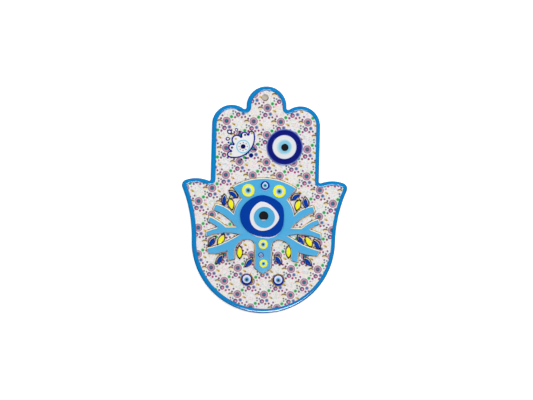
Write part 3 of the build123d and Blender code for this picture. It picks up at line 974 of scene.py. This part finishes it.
lotus = {
    "edge": 0.08 * mm,  # width of the rounding of the outline's edges, and of the small dots'
    "dotEdge": 0.05 * mm,
    "dotSpread": 0.16 * mm,  # how far the small dots' paint has run past the cut dots
    "whiteEdge": 0.26 * mm,  # how far the outline's paint comes over the white
    "dropPoints": 64,
    "dropGrow": 1.15,  # how much larger the drops are than the cut ones
    # their rings from the back's rim to near the middle: share of the reach and share of the thickness
    "dropProfile": [(1.0, 0.0), (1.0, 0.6), (0.93, 0.95), (0.8, 1.0), (0.55, 0.9), (0.5, 0.8), (0.3, 0.78),
                    (0.1, 0.78)],
    "lineRings": 5,  # how many rings of faces from the rim are the dark line; the others are white
}
softenedCopy("lotus_backing", "lotusBacking", lotus["edge"], lotusLine, lotusLine)
softenedCopy("lotus_body", "lotusBody", lotus["whiteEdge"], lotusWhite, lotusLine)
for node, name, finish, slot in (
    ("lotus_petal_dots", "lotusPetalDots", petalPaint, "olive_lacquer"),
    ("lotus_studs", "lotusStuds", studBlue, "navy_lacquer"),
):
    softenedCopy(node, name, lotus["dotEdge"], finish, finish, lotus["dotSpread"])


def makeDrops():  # a raised dark line round a white middle, for each of the three drops
    spots, back, front = backSpots("lotus_drops")
    low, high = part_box("lotus_drops")
    corners = np.array([[low.x, high.z], [low.x, low.z], [high.x, high.z]])  # each has one drop near it
    owner = nearest(spots, corners)
    profile = [(share, (back - front) * height) for share, height in lotus["dropProfile"]]
    zones = [int(ring >= lotus["lineRings"]) for ring in range(len(profile) - 1)]
    drops = []
    for number in range(len(corners)):
        middle, turns, reach = outlineOf(spots[owner == number])
        reach = resampled(turns, reach, lotus["dropPoints"]) * lotus["dropGrow"]
        drops.append(domed("drop", middle, reach, profile, back, [dropLine, lotusWhite], zones))
    joined("lotusDrops", drops, ["lotus_drops"])


makeDrops()
print("lotus: made")


lamps = {
    # place, size across and along, strength in watts, and whether it lights paint or only shows in gloss
    "top": ((-0.6, -1.2, 0.9), (0.7, 0.5), 8.6, "paint"),
    "side": ((1.0, -1.1, 0.25), (0.5, 0.7), 5.2, "paint"),
    "front": ((0.4, -2.5, 0.35), (0.5, 0.5), 18.5, "paint"),
    "back": ((0.3, 1.8, 0.4), (0.8, 0.8), 14.0, "paint"),
    "below": ((0.10, -0.80, -0.69), (0.50, 0.56), 21.0, "gloss"),
}
stage = {
    "wallPaint": paint(238, 238, 238),
    "wallCloud": 50 * mm,  # width of the faint clouds in it, and how dark they get
    "wallDark": 0.97,
    "wallRough": 0.9,
    "wallGap": 0.5 * mm,  # how far behind the hand's back it stands
    "wallSize": 2.4,
    "wallLift": 0.72,  # how much brighter it looks to the camera than the lamps make it
    "floor": -1.0,  # how high the floor lies; the hand hangs well above it
    "ambient": 0.31,
    "glossyAmbient": 0.05,
    "background": 1.0,
    "holeShade": paint(206, 198, 184),  # painted shade: the darker colour of the small patch of wall that the hanging hole shows; its lift below is lower too
    "patchLift": 0.42,
    "patchSize": 9 * mm,
    "patchGap": 0.2 * mm,
    "litMiddle": (-0.2 * mm, 0.8 * mm),  # outside this round the patch has a painted shadow of the hole's wall
    "litReach": 2.6 * mm,
    "shadeSoft": 0.5 * mm,
}


def flatSheet(name, corners, material):
    mesh = bpy.data.meshes.new(name)
    mesh.from_pydata(corners, [], [(0, 1, 2, 3)])
    mesh.materials.append(material)
    sheet = bpy.data.objects.new(name, mesh)
    bpy.context.scene.collection.objects.link(sheet)


def uprightSheet(name, size, deep, material):  # a square that faces forwards, its middle behind the hole's
    half = size / 2
    corners = [(-half, deep, -half), (half, deep, -half), (half, deep, half), (-half, deep, half)]
    flatSheet(name, corners, material)


def stageFinish(name, colour, lift, withPaintedShadow=False):
    # pale paint that looks brighter when seen straight, and that lets other light, and views from behind,
    # pass through it
    finish = Finish(name, Roughness=stage["wallRough"], Specular_IOR_Level=0.0)
    shade = finish.blend(finish.noise(stage["wallCloud"]), colour, toned(colour, stage["wallDark"]))
    seen = finish.add("ShaderNodeLightPath", out=0)
    strength = seen * lift
    # painted shadow: outside the lit round the patch turns brown and less lifted, as if the hole's wall
    # shaded it
    if withPaintedShadow:
        start = stage["litReach"]
        paintedShadow = finish.rise(finish.reach(stage["litMiddle"]), start, start + stage["shadeSoft"])
        shade = finish.blend(paintedShadow, shade, plaque["burntAndShade"])
        strength = strength * (1 - paintedShadow)
    finish.colour(shade)
    light = finish.add("ShaderNodeEmission", None, {"Color": shade, "Strength": strength})
    lit = finish.add("ShaderNodeAddShader", None, {0: Wire(finish, finish.shader.outputs[0]), 1: light})
    behind = finish.add("ShaderNodeNewGeometry", out=6)
    clear = finish.add("ShaderNodeBsdfTransparent")
    lit = finish.add("ShaderNodeMixShader", None, {0: seen * (1 - behind), 1: clear, 2: lit})
    finish.plug(lit, finish.sheet.nodes["Material Output"].inputs["Surface"])
    return finish.material


def makeBackdrop():  # a wall just behind the hand, a darker patch behind its hole as painted shade, and a floor far below
    wallPaint = stageFinish("wallPaint", stage["wallPaint"], stage["wallLift"])
    uprightSheet("wall", stage["wallSize"], stage["wallGap"], wallPaint)
    half, far, low = stage["wallSize"] / 2, stage["wallGap"], stage["floor"]
    near = far - stage["wallSize"]
    corners = [(-half, near, low), (half, near, low), (half, far, low), (-half, far, low)]
    flatSheet("floor", corners, wallPaint)
    # painted shade: a darker patch of wall behind the hanging hole, with a painted shadow of the hole's
    # wall in it
    holeShade = stageFinish("paintedHoleShade", stage["holeShade"], stage["patchLift"], True)
    uprightSheet("holeShadePatch", stage["patchSize"], stage["patchGap"], holeShade)


def makeLamps():  # soft squares of light, all turned to the hand's middle
    aim = (cadBox[0] + cadBox[1]) / 2
    for name, (place, size, power, seenIn) in lamps.items():
        data = bpy.data.lights.new(name, "AREA")
        data.shape = "RECTANGLE"
        data.size, data.size_y = size
        data.energy = power
        lamp = bpy.data.objects.new(name, data)
        bpy.context.scene.collection.objects.link(lamp)
        lamp.location = place
        lamp.rotation_euler = (aim - Vector(place)).to_track_quat("-Z", "Y").to_euler()
        lamp.visible_diffuse = seenIn == "paint"
        lamp.visible_glossy = seenIn == "gloss"


def makeWorld():  # light from all round: white to the camera, fairly dim to paint and dimmer to gloss
    world = bpy.data.worlds.new("studio")
    world.use_nodes = True
    bpy.context.scene.world = world
    sheet = world.node_tree
    ways = sheet.nodes.new("ShaderNodeLightPath")
    level = sheet.nodes["Background"]
    level.inputs["Color"].default_value = (1, 1, 1, 1)
    glossy = sheet.nodes.new("ShaderNodeMix")
    sheet.links.new(ways.outputs["Is Glossy Ray"], glossy.inputs[0])
    glossy.inputs[2].default_value = stage["ambient"]
    glossy.inputs[3].default_value = stage["glossyAmbient"]
    straight = sheet.nodes.new("ShaderNodeMix")
    sheet.links.new(ways.outputs["Is Camera Ray"], straight.inputs[0])
    sheet.links.new(glossy.outputs[0], straight.inputs[2])
    straight.inputs[3].default_value = stage["background"]
    sheet.links.new(straight.outputs[0], level.inputs["Strength"])


makeBackdrop()
makeLamps()
makeWorld()
print("stage: made")
